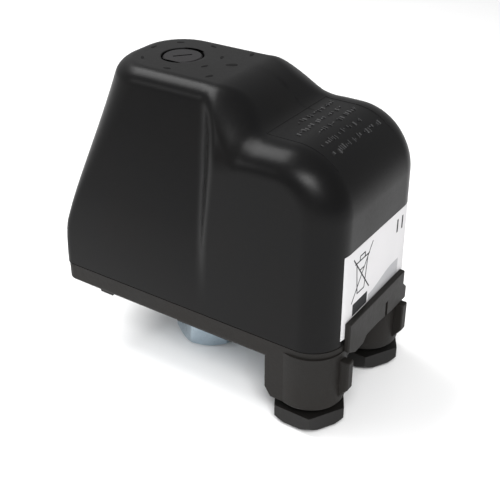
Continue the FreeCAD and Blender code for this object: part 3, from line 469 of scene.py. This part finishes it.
@dataclass
class CoverShell:
    """Domed cover: leaning tower, brow, low shoulder, screw recess and hollow inside."""

    bottom: float = 28.4
    left: float = -48.0
    right: float = 55.1
    half: float = 29.6
    kink: float = 43.1
    crown: float = 100.0
    crown_left: float = -35.4
    crown_half: float = 18.7
    shoulder: float = 89.7
    brow_start: float = 6.5
    brow_radius: float = 18.0
    foot_radius: float = 8.0
    end_radius: float = 19.2
    edge: float = 8.4
    crown_edge: float = 4.6
    brow_edge: float = 8.6
    bevel_half: float = 17.6
    bevel_slope: float = 0.84
    bevel_swell: float = 3.4
    bevel_run: Span = (17.0, 30.0)
    bevel_band: float = 7.0
    lean_band: float = 2.4
    blind_band: float = 0.35
    blind_corner: float = 1.6
    nose: float = 15.5
    nose_rise: Span = (36.0, 104.0)
    cable_corner: float = 10.6
    corner_extra: float = 0.8
    corner_run: Span = (34.0, 52.0)
    brow_run: Span = (5.0, 18.0)
    foot_run: Span = (20.0, 32.0)
    draft: float = 0.021
    step_x: float = 10.8
    step_lean: float = 2.2
    step_rise: Span = (50.0, 92.0)
    step_slope: float = 0.6
    step_run: float = 2.2
    step_bands: Span = (4.5, 5.5)
    step_shares: Span = (0.6, 0.8)
    least_band: float = 0.01
    wall: float = 2.5
    screw_x: float = -16.8
    recess: float = 6.85
    recess_depth: float = 3.2
    well: float = 9.0
    hole: float = 2.9
    lip: float = 0.45
    web: float = 3.0
    hub_half: float = 6.0
    hub_margin: float = 26.0
    turn_level: float = 70.0
    columns: int = 400
    corner_stations: int = 60
    side_stations: int = 200

    def low_half(self, z: Grid) -> Grid:
        """Half width of the low body: it narrows upwards by the mould's draft."""
        return self.half - self.draft * (z - self.bottom)

    def flank_half(self, x: Grid, z: Grid) -> Grid:
        """Half width of the low body with the bevel that leads up to the crown's edge."""
        swell = self.bevel_swell * ease(x, *self.bevel_run)
        bevel = self.bevel_half + self.bevel_slope * (self.crown - z) + swell
        return -soft_max(-self.low_half(z), -bevel, self.bevel_band)

    def tower_half(self, z: Grid) -> Grid:
        """Half width of the tower: the low body's up to the kink, then a straight lean."""
        lean = (self.low_half(self.kink) - self.crown_half) / (self.crown - self.kink)
        leaning = self.low_half(self.kink) - lean * (z - self.kink)
        return -soft_max(-self.low_half(z), -leaning, self.lean_band)

    def half_width(self, x: Grid, z: Grid) -> Grid:
        """Half width at a station and level.

        Formula: the low body's width, cut by a slanting step face, but never less than the
        tower's; both joints are blended by bands that fade out with the step.
        """
        low, tower = self.flank_half(x, z), self.tower_half(z)
        depth = np.maximum(self.low_half(z) - tower, 0.0)
        edge = self.step_x + self.step_lean * ease(z, *self.step_rise)
        run = np.hypot(self.step_slope * depth, self.step_run)
        slanting = self.low_half(z) - (edge - x) * depth / run
        crest, foot = (
            np.minimum(band, share * depth + self.least_band)
            for band, share in zip(self.step_bands, self.step_shares)
        )
        outer = -soft_max(-low, -slanting, crest)
        return soft_max(tower, outer, foot)

    def top_level(self, x: Grid) -> Grid:
        """Level of the top along the middle: crown, brow arc, straight run, foot arc, shoulder."""
        root = math.sqrt(0.5)
        arc_end = self.brow_start + self.brow_radius * root
        arc_low = self.crown - self.brow_radius * (1.0 - root)
        run = arc_low - self.shoulder - self.foot_radius * (1.0 - root)
        foot = arc_end + run
        flat = foot + self.foot_radius * root
        brow_reach = np.clip(x - self.brow_start, 0.0, self.brow_radius)
        brow = self.crown - self.brow_radius + np.sqrt(self.brow_radius**2 - brow_reach**2)
        straight = arc_low - (x - arc_end)
        foot_reach = np.clip(flat - x, 0.0, self.foot_radius)
        hollow = self.shoulder + self.foot_radius - np.sqrt(self.foot_radius**2 - foot_reach**2)
        return np.where(x < arc_end, brow, np.where(x < foot, straight, hollow))

    def edge_radius(self, x: Grid) -> Grid:
        """Rounding of the top's long edges: tight on the crown, broader on brow and shoulder."""
        swell = ease(x, *self.brow_run) * (self.brow_edge - self.crown_edge)
        swell += ease(x, *self.foot_run) * (self.edge - self.brow_edge)
        corner = ease(x, *self.corner_run) * (self.cable_corner + self.corner_extra - self.edge)
        return self.crown_edge + swell + corner

    def distance(self, points: Grid) -> Grid:
        """Signed distance to the cover's outer surface, negative inside.

        Formula: the side walls, the blind end, the top and the cable end are fields of their own,
        each divided by its slope, and joined pairwise by rounded intersections.
        """
        x, y, z = points[..., 0], np.abs(points[..., 1]), points[..., 2]
        step = 0.05
        across = self.half_width(x + step, z) - self.half_width(x - step, z)
        up = self.half_width(x, z + step) - self.half_width(x, z - step)
        slope = np.sqrt(1.0 + (across**2 + up**2) / (4.0 * step * step))
        side = (y - self.half_width(x, z)) / slope
        rise = self.crown - self.kink
        lean = (self.crown_left - self.left) / rise
        upright = self.left - x
        leaning = (self.left + lean * (z - self.kink) - x) / math.hypot(1.0, lean)
        blind = soft_max(upright, leaning, self.blind_band)
        corner = self.blind_corner + (self.nose - self.blind_corner) * ease(z, *self.nose_rise)
        walls = fillet(side, blind, corner)
        fall = (self.top_level(x - step) - self.top_level(x + step)) / (2.0 * step)
        top = (z - self.top_level(x)) / np.hypot(1.0, fall)
        lid = fillet(top, x - self.right, self.end_radius)
        return fillet(walls, lid, self.edge_radius(x))

    def outline(self) -> Grid:
        """Stations round the plan at the foot, closer together at the step and the corners."""
        corner, tight = self.cable_corner, self.blind_corner
        turn = np.linspace(0.0, math.pi / 2.0, self.corner_stations)
        straight = np.linspace(self.left + tight, self.right - corner, self.side_stations)
        knots = [(self.left, 0.0)]
        knots += list(zip(
            self.left + tight - tight * np.cos(turn), -self.half + tight - tight * np.sin(turn)
        ))
        knots += [(x, -self.half) for x in straight[1:-1]]
        knots += list(zip(
            self.right - corner + corner * np.sin(turn), -self.half + corner - corner * np.cos(turn)
        ))
        knots += [(self.right, 0.0)]
        lower = np.array(knots)
        upper = lower[::-1][1:-1] * np.array([1.0, -1.0])
        ring = np.concatenate([lower, upper])
        closed = np.concatenate([ring, ring[:1]])
        steps = np.linalg.norm(np.diff(closed, axis=0), axis=1)
        middle = (closed[1:, 0] + closed[:-1, 0]) / 2.0
        weight = np.ones_like(middle)
        for place, spread, extra in ((10.0, 5.0, 1.6), (self.right, 9.0, 0.9)):
            weight += extra * np.exp(-(((middle - place) / spread) ** 2))
        travelled = np.concatenate([[0.0], np.cumsum(steps * weight)])
        stations = np.linspace(0.0, travelled[-1], self.columns, endpoint=False)
        return np.stack([np.interp(stations, travelled, closed[:, axis]) for axis in (0, 1)], axis=-1)

    def skin_rows(self, level: float, counts: tuple[int, int, int], rim: float) -> list[Grid]:
        """Rows of the skin that lies a given distance from the outer surface.

        Formula: level rays from a long ring inside the body find the wall, the same rays then turn
        up over the edge, and upright rays walk in to a circle round the screw.

        Args:
            level: signed distance of the skin, 0 outside or minus the wall inside.
            counts: rows on the wall, over the edge and on the top.
            rim: radius of the circle round the screw where the top rows end.

        Returns:
            Rows of points from the foot up to the circle.
        """
        outline = self.outline()
        spine = np.clip(outline[:, 0], self.left + self.hub_margin, self.right - self.hub_margin)
        inward = np.stack([spine - outline[:, 0], -outline[:, 1]], axis=-1)
        inward /= np.linalg.norm(inward, axis=-1, keepdims=True)
        hub = np.stack([spine, np.zeros(self.columns)], axis=-1) - inward * self.hub_half
        outward = np.concatenate([-inward, np.zeros((self.columns, 1))], axis=-1)
        up = np.array([0.0, 0.0, 1.0])
        bearing = np.arctan2(hub[:, 1], hub[:, 0] - self.screw_x)
        circle = np.stack([np.cos(bearing), np.sin(bearing)], axis=-1) * rim
        circle[:, 0] += self.screw_x
        starts, headings = [], []
        lower = np.linspace(self.bottom, self.kink, counts[0] // 3, endpoint=False)
        upper = np.linspace(self.kink, self.turn_level, counts[0] - counts[0] // 3, endpoint=False)
        for z in np.concatenate([lower, upper]):
            starts.append(np.column_stack([hub, np.full(self.columns, z)]))
            headings.append(outward)
        for angle in np.linspace(0.0, math.pi / 2.0, counts[1], endpoint=False):
            starts.append(np.column_stack([hub, np.full(self.columns, self.turn_level)]))
            headings.append(outward * math.cos(angle) + up * math.sin(angle))
        denser_rim = 0.85
        for travel in np.linspace(0.0, 1.0, counts[2]) ** denser_rim:
            plan = hub * (1.0 - travel) + circle * travel
            starts.append(np.column_stack([plan, np.full(self.columns, self.turn_level)]))
            headings.append(np.broadcast_to(up, (self.columns, 3)))
        origin, heading = np.stack(starts), np.stack(headings)
        beyond = self.right - self.left
        return list(march(lambda points: self.distance(points) - level, origin, heading, beyond))

    def ring(self, like: Grid, radius: float, z: float) -> Grid:
        """A row on a circle round the screw, with the bearings of another row."""
        offset = like[:, :2] - np.array([self.screw_x, 0.0])
        offset *= radius / np.linalg.norm(offset, axis=-1, keepdims=True)
        return np.column_stack([offset[:, 0] + self.screw_x, offset[:, 1], np.full(len(like), z)])

    def build(self) -> bpy.types.Object:
        """Build the shell as one closed surface and let it stand for the CAD cover."""
        outer = self.skin_rows(0.0, (36, 84, 46), self.recess + self.lip)
        inner = self.skin_rows(-self.wall, (12, 26, 14), self.well)
        floor = self.crown - self.recess_depth
        section = [
            (self.recess + 0.18, self.crown - 0.04),
            (self.recess + 0.04, self.crown - 0.18),
            (self.recess, self.crown - self.lip),
            (self.recess, floor + 0.3),
            (self.recess - 0.3, floor),
            (self.hole, floor),
            (self.hole, floor - self.web),
            (self.well, floor - self.web),
        ]
        well = [self.ring(outer[-1], radius, z) for radius, z in section]
        parts = MeshParts()
        parts.add(np.stack(outer + well + inner[::-1]))
        return parts.build("cover_shell", 32.0)


# --- label and raised marks --------------------------------------------------------------------


@dataclass
class RatingLabel:
    """Printed film on the cable-end face: a sheet, a shaded band and thin dark symbols."""

    cover: CoverShell
    thick: float = 0.12
    half: float = 20.6
    low: float = 30.4
    high: float = 59.6
    ink: float = 0.03
    stroke: float = 0.45
    root: float = 0.06
    band_left: float = -4.4
    band_right: float = 16.0
    band_low: float = 38.6
    band_rise: float = 3.0

    def face(self, corners: Grid, lift: float) -> Grid:
        """Points over the end face, with corners given across and up, shape (..., 2)."""
        start = np.concatenate([np.full(corners.shape[:-1] + (1,), 30.0), corners], axis=-1)
        heading = np.zeros_like(start)
        heading[..., 0] = 1.0
        return march(self.cover.distance, start, heading, 40.0) + heading * lift

    def strip(self, stations: Grid, low: Grid, high: Grid, under: float, over: float) -> Grid:
        """A bent sheet between two edges, from one lift over the face to another."""
        edges = [np.column_stack([stations, edge]) for edge in (low, high)]
        corners = [
            self.face(edges[0], under), self.face(edges[0], over),
            self.face(edges[1], over), self.face(edges[1], under),
        ]
        return sleeve(np.stack(corners, axis=1))

    def line(self, start: tuple[float, float], end: tuple[float, float], width: float) -> Grid:
        """One straight ink stroke."""
        first, last = np.array(start), np.array(end)
        along = (last - first) / np.linalg.norm(last - first)
        side = np.array([-along[1], along[0]]) * width / 2.0
        corners = np.stack([first - side, last - side, last + side, first + side])
        under = self.face(corners, self.thick - self.root)
        return prism(under, np.array([self.root + self.ink, 0.0, 0.0]))

    def symbols(self) -> list[Grid]:
        """Strokes of a crossed-out box, a heavy bar under it and two short bars at the far end."""
        strokes = [
            ((-14.6, 54.4), (-5.4, 54.4)),
            ((-13.6, 54.4), (-12.2, 43.2)),
            ((-6.4, 54.4), (-7.8, 43.2)),
            ((-12.2, 43.2), (-7.8, 43.2)),
            ((-11.6, 56.0), (-8.4, 56.0)),
            ((-11.6, 56.0), (-11.6, 54.4)),
            ((-8.4, 56.0), (-8.4, 54.4)),
            ((-15.6, 56.6), (-4.4, 41.8)),
            ((-3.6, 57.6), (-15.6, 41.2)),
            ((-11.4, 51.0), (-8.6, 51.0)),
        ]
        solids = [self.line(start, end, self.stroke) for start, end in strokes]
        solids.append(self.line((-14.6, 38.3), (-5.2, 38.3), 4.2))
        solids += [self.line((y, 52.2), (y, 56.8), 0.9) for y in (13.4, 16.8)]
        return solids

    def build(self, materials: dict[str, bpy.types.Material]) -> None:
        """Build the sheet in place of the CAD label, with its print."""
        across = np.linspace(-self.half, self.half, 65)
        foot, head = np.full_like(across, self.low), np.full_like(across, self.high)
        inner = np.linspace(self.band_left, self.band_right, 40)
        crest = self.band_low + self.band_rise * ease(inner, -4.0, 12.0)
        under = np.full_like(inner, self.low + 0.2)
        sheet = self.strip(across, foot, head, -0.15, self.thick)
        band = self.strip(inner, under, crest, self.thick - 0.05, self.thick + self.ink * 0.5)
        groups = {
            "label_film": ([sheet], "label_sheet"),
            "label_band": ([band], "label_band"),
            "label_symbols": (self.symbols(), "label_ink"),
        }
        for name, (solids, finish) in groups.items():
            parts = MeshParts()
            for solid in solids:
                parts.add(solid, False)
            piece = parts.build(name, 30.0)
            dress(piece, materials[finish])
            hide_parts("rating_label")
            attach(piece, "cover_body")


@dataclass
class CoverMarks:
    """Low relief on the cover: dots round the screw, finished dark as painted shade of recessed
    marks, and rows of short bars in a bordered field, painted paler as glints.
    """

    cover: CoverShell
    field_back: float = 25.7
    field_front: float = 49.4
    field_half: float = 17.0
    height: float = 0.24
    sunk: float = 0.25
    dot_circle: float = 12.6
    dot_height: float = 0.07

    def onto(self, plan: Grid) -> Grid:
        """The points of the cover's top above points of the plan, shape (..., 2)."""
        start = np.concatenate([plan, np.full(plan.shape[:-1] + (1,), 60.0)], axis=-1)
        heading = np.zeros_like(start)
        heading[..., 2] = 1.0
        return march(self.cover.distance, start, heading, 60.0)

    def outward(self, points: Grid) -> Grid:
        """Unit normals of the cover's top, from differences of the distance."""
        step = 0.02
        shifts = np.eye(3) * step
        ups = [self.cover.distance(points + shift) for shift in shifts]
        downs = [self.cover.distance(points - shift) for shift in shifts]
        slope = np.stack([up - down for up, down in zip(ups, downs)], axis=-1)
        return slope / np.linalg.norm(slope, axis=-1, keepdims=True)

    def raised(self, plan: Grid, height: float, taper: float) -> Grid:
        """A mark whose outline in plan is laid on the surface and raised along its normals."""
        ring = self.onto(plan)
        normal = self.outward(ring)
        return prism(ring - normal * self.sunk, normal * (self.sunk + height), taper)

    def bars(self) -> list[Grid]:
        """Five rows of short bars of uneven length, grouped like printed matter."""
        random = np.random.default_rng(7)
        rows = [(29.4, -6.0, 14.5), (33.4, -13.0, 13.5), (37.6, -8.0, 14.0)]
        rows += [(41.8, -14.0, 9.0), (45.6, -13.5, 14.5)]
        solids = []
        for x, start, end in rows:
            y = start
            while y < end:
                long = random.choice([1.9, 1.9, 1.2, 0.7])
                wide = random.choice([0.42, 0.42, 0.85])
                lean = random.uniform(-0.25, 0.25)
                offset = random.uniform(-0.35, 0.35)
                low, high = x + offset - long / 2.0, x + offset + long / 2.0
                plan = np.array(
                    [(low, y), (low, y + wide), (high, y + wide + lean), (high, y + lean)]
                )
                solids.append(self.raised(plan, self.height, 0.7))
                y += wide + random.choice([0.45, 0.6, 0.6, 1.9])
        return solids

    def ridge(self, path: Grid) -> Grid:
        """A low rounded line along a path in plan."""
        heading = np.gradient(path, axis=0)
        heading /= np.linalg.norm(heading, axis=-1, keepdims=True)
        side = np.stack([-heading[:, 1], heading[:, 0]], axis=-1)
        offsets = (-0.26, -0.13, 0.13, 0.26)
        lifts = (-0.1, 0.12, 0.12, -0.1)
        rows = [self.onto(path + side * offset) for offset in offsets]
        sections = [row + self.outward(row) * lift for row, lift in zip(rows, lifts)]
        return sleeve(np.stack(sections, axis=1))

    def border(self) -> list[Grid]:
        """Three sides of the field."""
        half, back, front = self.field_half, self.field_back, self.field_front
        across = np.linspace(-half, half, 60)
        along = np.linspace(back, front, 60)
        paths = [np.column_stack([np.full_like(across, back), across])]
        for side in (-half, half):
            paths.append(np.column_stack([along, np.full_like(along, side)]))
        return [self.ridge(path) for path in paths]

    def dots(self) -> list[Grid]:
        """Shallow ovals round the screw and in a row before the brow, finished dark as painted shade
        of recessed marks.
        """
        places = []
        for degrees in (23.0, 74.0, 130.0, 174.0, 223.0, 285.0, 339.0):
            turn = math.radians(degrees)
            reach = self.dot_circle
            spot = (self.cover.screw_x + reach * math.cos(turn), reach * math.sin(turn))
            places.append((spot, turn + math.pi / 2.0, 1.5, 0.6))
        places += [((1.2, -10.7), 1.2, 1.6, 0.7), ((1.2, 1.0), 0.6, 2.3, 1.1)]
        places.append(((1.2, 12.1), 1.8, 1.6, 0.7))
        solids = []
        for (x, y), turn, long, wide in places:
            angle = np.linspace(0.0, 2.0 * math.pi, 20, endpoint=False)
            along, across = long * np.cos(angle), wide * np.sin(angle) * (1.0 + 0.4 * np.cos(angle))
            plan = np.column_stack([
                x + along * math.cos(turn) - across * math.sin(turn),
                y + along * math.sin(turn) + across * math.cos(turn),
            ])
            solids.append(self.raised(plan, self.dot_height, 0.8))
        return solids

    def build(self, materials: dict[str, bpy.types.Material]) -> None:
        """Build the marks as pieces of the cover."""
        groups = {
            "cover_field_marks": (self.bars(), "cover_marks_painted_glint"),
            "cover_field_border": (self.border(), "cover_plastic"),
            "cover_dots_painted_shade": (self.dots(), "cover_dots_painted_shade"),
        }
        for name, (solids, finish) in groups.items():
            parts = MeshParts()
            for solid in solids:
                parts.add(solid, False)
            piece = parts.build(name, 35.0)
            dress(piece, materials[finish])
            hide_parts("cover")
            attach(piece, "cover_body")


# --- studio ------------------------------------------------------------------------------------


@dataclass
class Studio:
    """Pale floor, soft lights and the camera."""

    floor_level: float = -2.45
    aim: Colour = (0.545, 12.208, 28.34)
    bearing: float = 33.6
    height: float = 30.9
    away: float = 327.0
    lens: float = 66.31

    def build(self) -> None:
        """Place everything."""
        self.floor()
        self.lights()
        self.camera()

    def floor(self) -> None:
        """A wide level sheet under the switch."""
        reach = np.linspace(-2500.0, 2500.0, 3)
        x, y = np.meshgrid(reach, reach, indexing="ij")
        grid = np.stack([x, y, np.full_like(x, self.floor_level)], axis=-1)
        parts = MeshParts()
        parts.add(grid, False, False)
        sheet = parts.build("studio_floor")
        tree = Tree("studio_paper")
        grain = tree.noise(60.0, 2.0)
        tree.dress(
            Base_Color=tree.mix(grain * 0.3, (0.86, 0.86, 0.86), (0.84, 0.84, 0.845)), Roughness=0.9
        )
        sheet.data.materials.append(tree.material)

    def lights(self) -> None:
        """A white surround and three soft boxes: overhead to the left, low left and front right."""
        world = bpy.data.worlds.new("studio_air")
        bpy.context.scene.world = world
        world.use_nodes = True
        background = world.node_tree.nodes["Background"]
        background.inputs["Color"].default_value = (1.0, 1.0, 1.0, 1.0)
        background.inputs["Strength"].default_value = 0.5
        self.softbox("key_box", (-330.0, -20.0, 620.0), (0.0, 0.0, 30.0), 400.0, 4.6)
        self.softbox("edge_box", (-400.0, -480.0, 300.0), (10.0, -20.0, 85.0), 170.0, 0.35)
        self.softbox("end_box", (300.0, -370.0, 500.0), (40.0, -20.0, 80.0), 280.0, 4.2)
        bpy.context.scene.view_settings.view_transform = "Standard"

    def softbox(self, name: str, spot: Colour, aim: Colour, side: float, power: float) -> None:
        """A square area light at a spot, aimed at a point, with power in watts."""
        lamp = bpy.data.lights.new(name, "AREA")
        lamp.size = side * MM
        lamp.energy = power
        holder = bpy.data.objects.new(name, lamp)
        holder.location = (Vector(spot) - Vector(PORT)) * MM
        heading = Vector(aim) - Vector(spot)
        holder.rotation_euler = heading.to_track_quat("-Z", "Y").to_euler()
        bpy.context.scene.collection.objects.link(holder)

    def camera(self) -> None:
        """The camera, on a sphere round its aim."""
        turn, lift = math.radians(self.bearing), math.radians(self.height)
        back = Vector(
            (math.sin(turn) * math.cos(lift), -math.cos(turn) * math.cos(lift), math.sin(lift))
        )
        lens = bpy.data.cameras.new("camera")
        lens.lens = self.lens
        lens.sensor_width = 36.0
        lens.sensor_fit = "HORIZONTAL"
        lens.clip_start = 0.01
        holder = bpy.data.objects.new("camera", lens)
        holder.location = (Vector(self.aim) - Vector(PORT) + back * self.away) * MM
        holder.rotation_euler = (-back).to_track_quat("-Z", "Y").to_euler()
        bpy.context.scene.collection.objects.link(holder)
        bpy.context.scene.camera = holder


# --- the whole switch --------------------------------------------------------------------------


class Finish(Enum):
    """Every finish of the switch."""

    COVER = Moulding(
        "cover_plastic", (0.003, 0.003, 0.0032), (0.02, 0.02, 0.022), 0.33,
        depth=0.000015, gloss=0.12, wear_and_glint=0.04,
    )
    SCREW = Moulding("screw_plastic", (0.0055, 0.005, 0.006), (0.04, 0.04, 0.04), 0.42, gloss=0.25)
    BASE = Moulding(
        "base_plastic", (0.0085, 0.0078, 0.007), (0.07, 0.066, 0.06), 0.55,
        grain=1400.0, depth=0.00009, gloss=0.2, wear_and_glint=0.2,
    )
    NUT = Moulding("nut_plastic", (0.006, 0.0058, 0.0055), (0.05, 0.05, 0.05), 0.45, gloss=0.25)
    BLOCK = Moulding("block_resin", (0.03, 0.022, 0.018), (0.1, 0.08, 0.07), 0.5)
    CARRIER = Moulding("carrier_plastic", (0.62, 0.58, 0.47), (0.75, 0.72, 0.62), 0.5)
    ZINC = Plated("zinc_steel", (0.46, 0.54, 0.60), (0.22, 0.28, 0.33), 0.18)
    LEVER = Plated(
        "lever_steel", (0.62, 0.56, 0.36), (0.45, 0.40, 0.30), 0.34, (900.0, 9000.0, 900.0)
    )
    TURNED = Plated("turned_steel", (0.56, 0.56, 0.58), (0.38, 0.38, 0.40), 0.3)
    SPRING = Plated("spring_steel", (0.34, 0.34, 0.36), (0.2, 0.19, 0.19), 0.35)
    BRASS = Plated("brass", (0.78, 0.57, 0.24), (0.52, 0.36, 0.16), 0.3, (900.0, 9000.0, 900.0))
    RUBBER = Soft("rubber", (0.012, 0.012, 0.012), (0.05, 0.05, 0.048))
    LABEL = Sheet("label_sheet", (0.64, 0.63, 0.64), (0.57, 0.57, 0.58), 0.6)
    BAND = Sheet("label_band", (0.40, 0.40, 0.41), (0.34, 0.34, 0.36), 0.6)
    INK = Sheet("label_ink", (0.004, 0.004, 0.006), (0.008, 0.008, 0.01), 0.8)
    # Raised marks painted paler than the cover, and paler still in spots: painted glints.
    MARKS_PAINTED_GLINT = Moulding(
        "cover_marks_painted_glint", (0.012, 0.012, 0.013), (0.10, 0.10, 0.11), 0.2, gloss=1.0, wear_and_glint=0.4
    )
    # Near-black matt finish of the dots: painted shade standing in for the shade inside recessed
    # marks.
    DOTS_PAINTED_SHADE = Moulding(
        "cover_dots_painted_shade", (0.002, 0.002, 0.002), (0.01, 0.01, 0.01), 0.6, gloss=0.1, wear_and_glint=0.02
    )


def dress(piece: bpy.types.Object, material: bpy.types.Material) -> None:
    """Give a piece one material all over."""
    if piece.data.materials:
        for index in range(len(piece.data.materials)):
            piece.data.materials[index] = material
    else:
        piece.data.materials.append(material)


def main() -> None:
    """Build every class in order."""
    logging.basicConfig(level=logging.INFO, format="%(name)s: %(message)s")
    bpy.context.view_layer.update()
    materials = {finish.value.name: finish.value.material() for finish in Finish}
    for entry in frame["record"]["subparts"]:
        dress(frame["nodes"][entry["node"]], materials[entry["material_slot"]])
    shell = CoverShell()
    cover = shell.build()
    dress(cover, materials["cover_plastic"])
    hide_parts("cover")
    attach(cover, "cover_body")
    CoverMarks(shell).build(materials)
    RatingLabel(shell).build(materials)
    Studio().build()


if __name__ == "__main__":
    main()
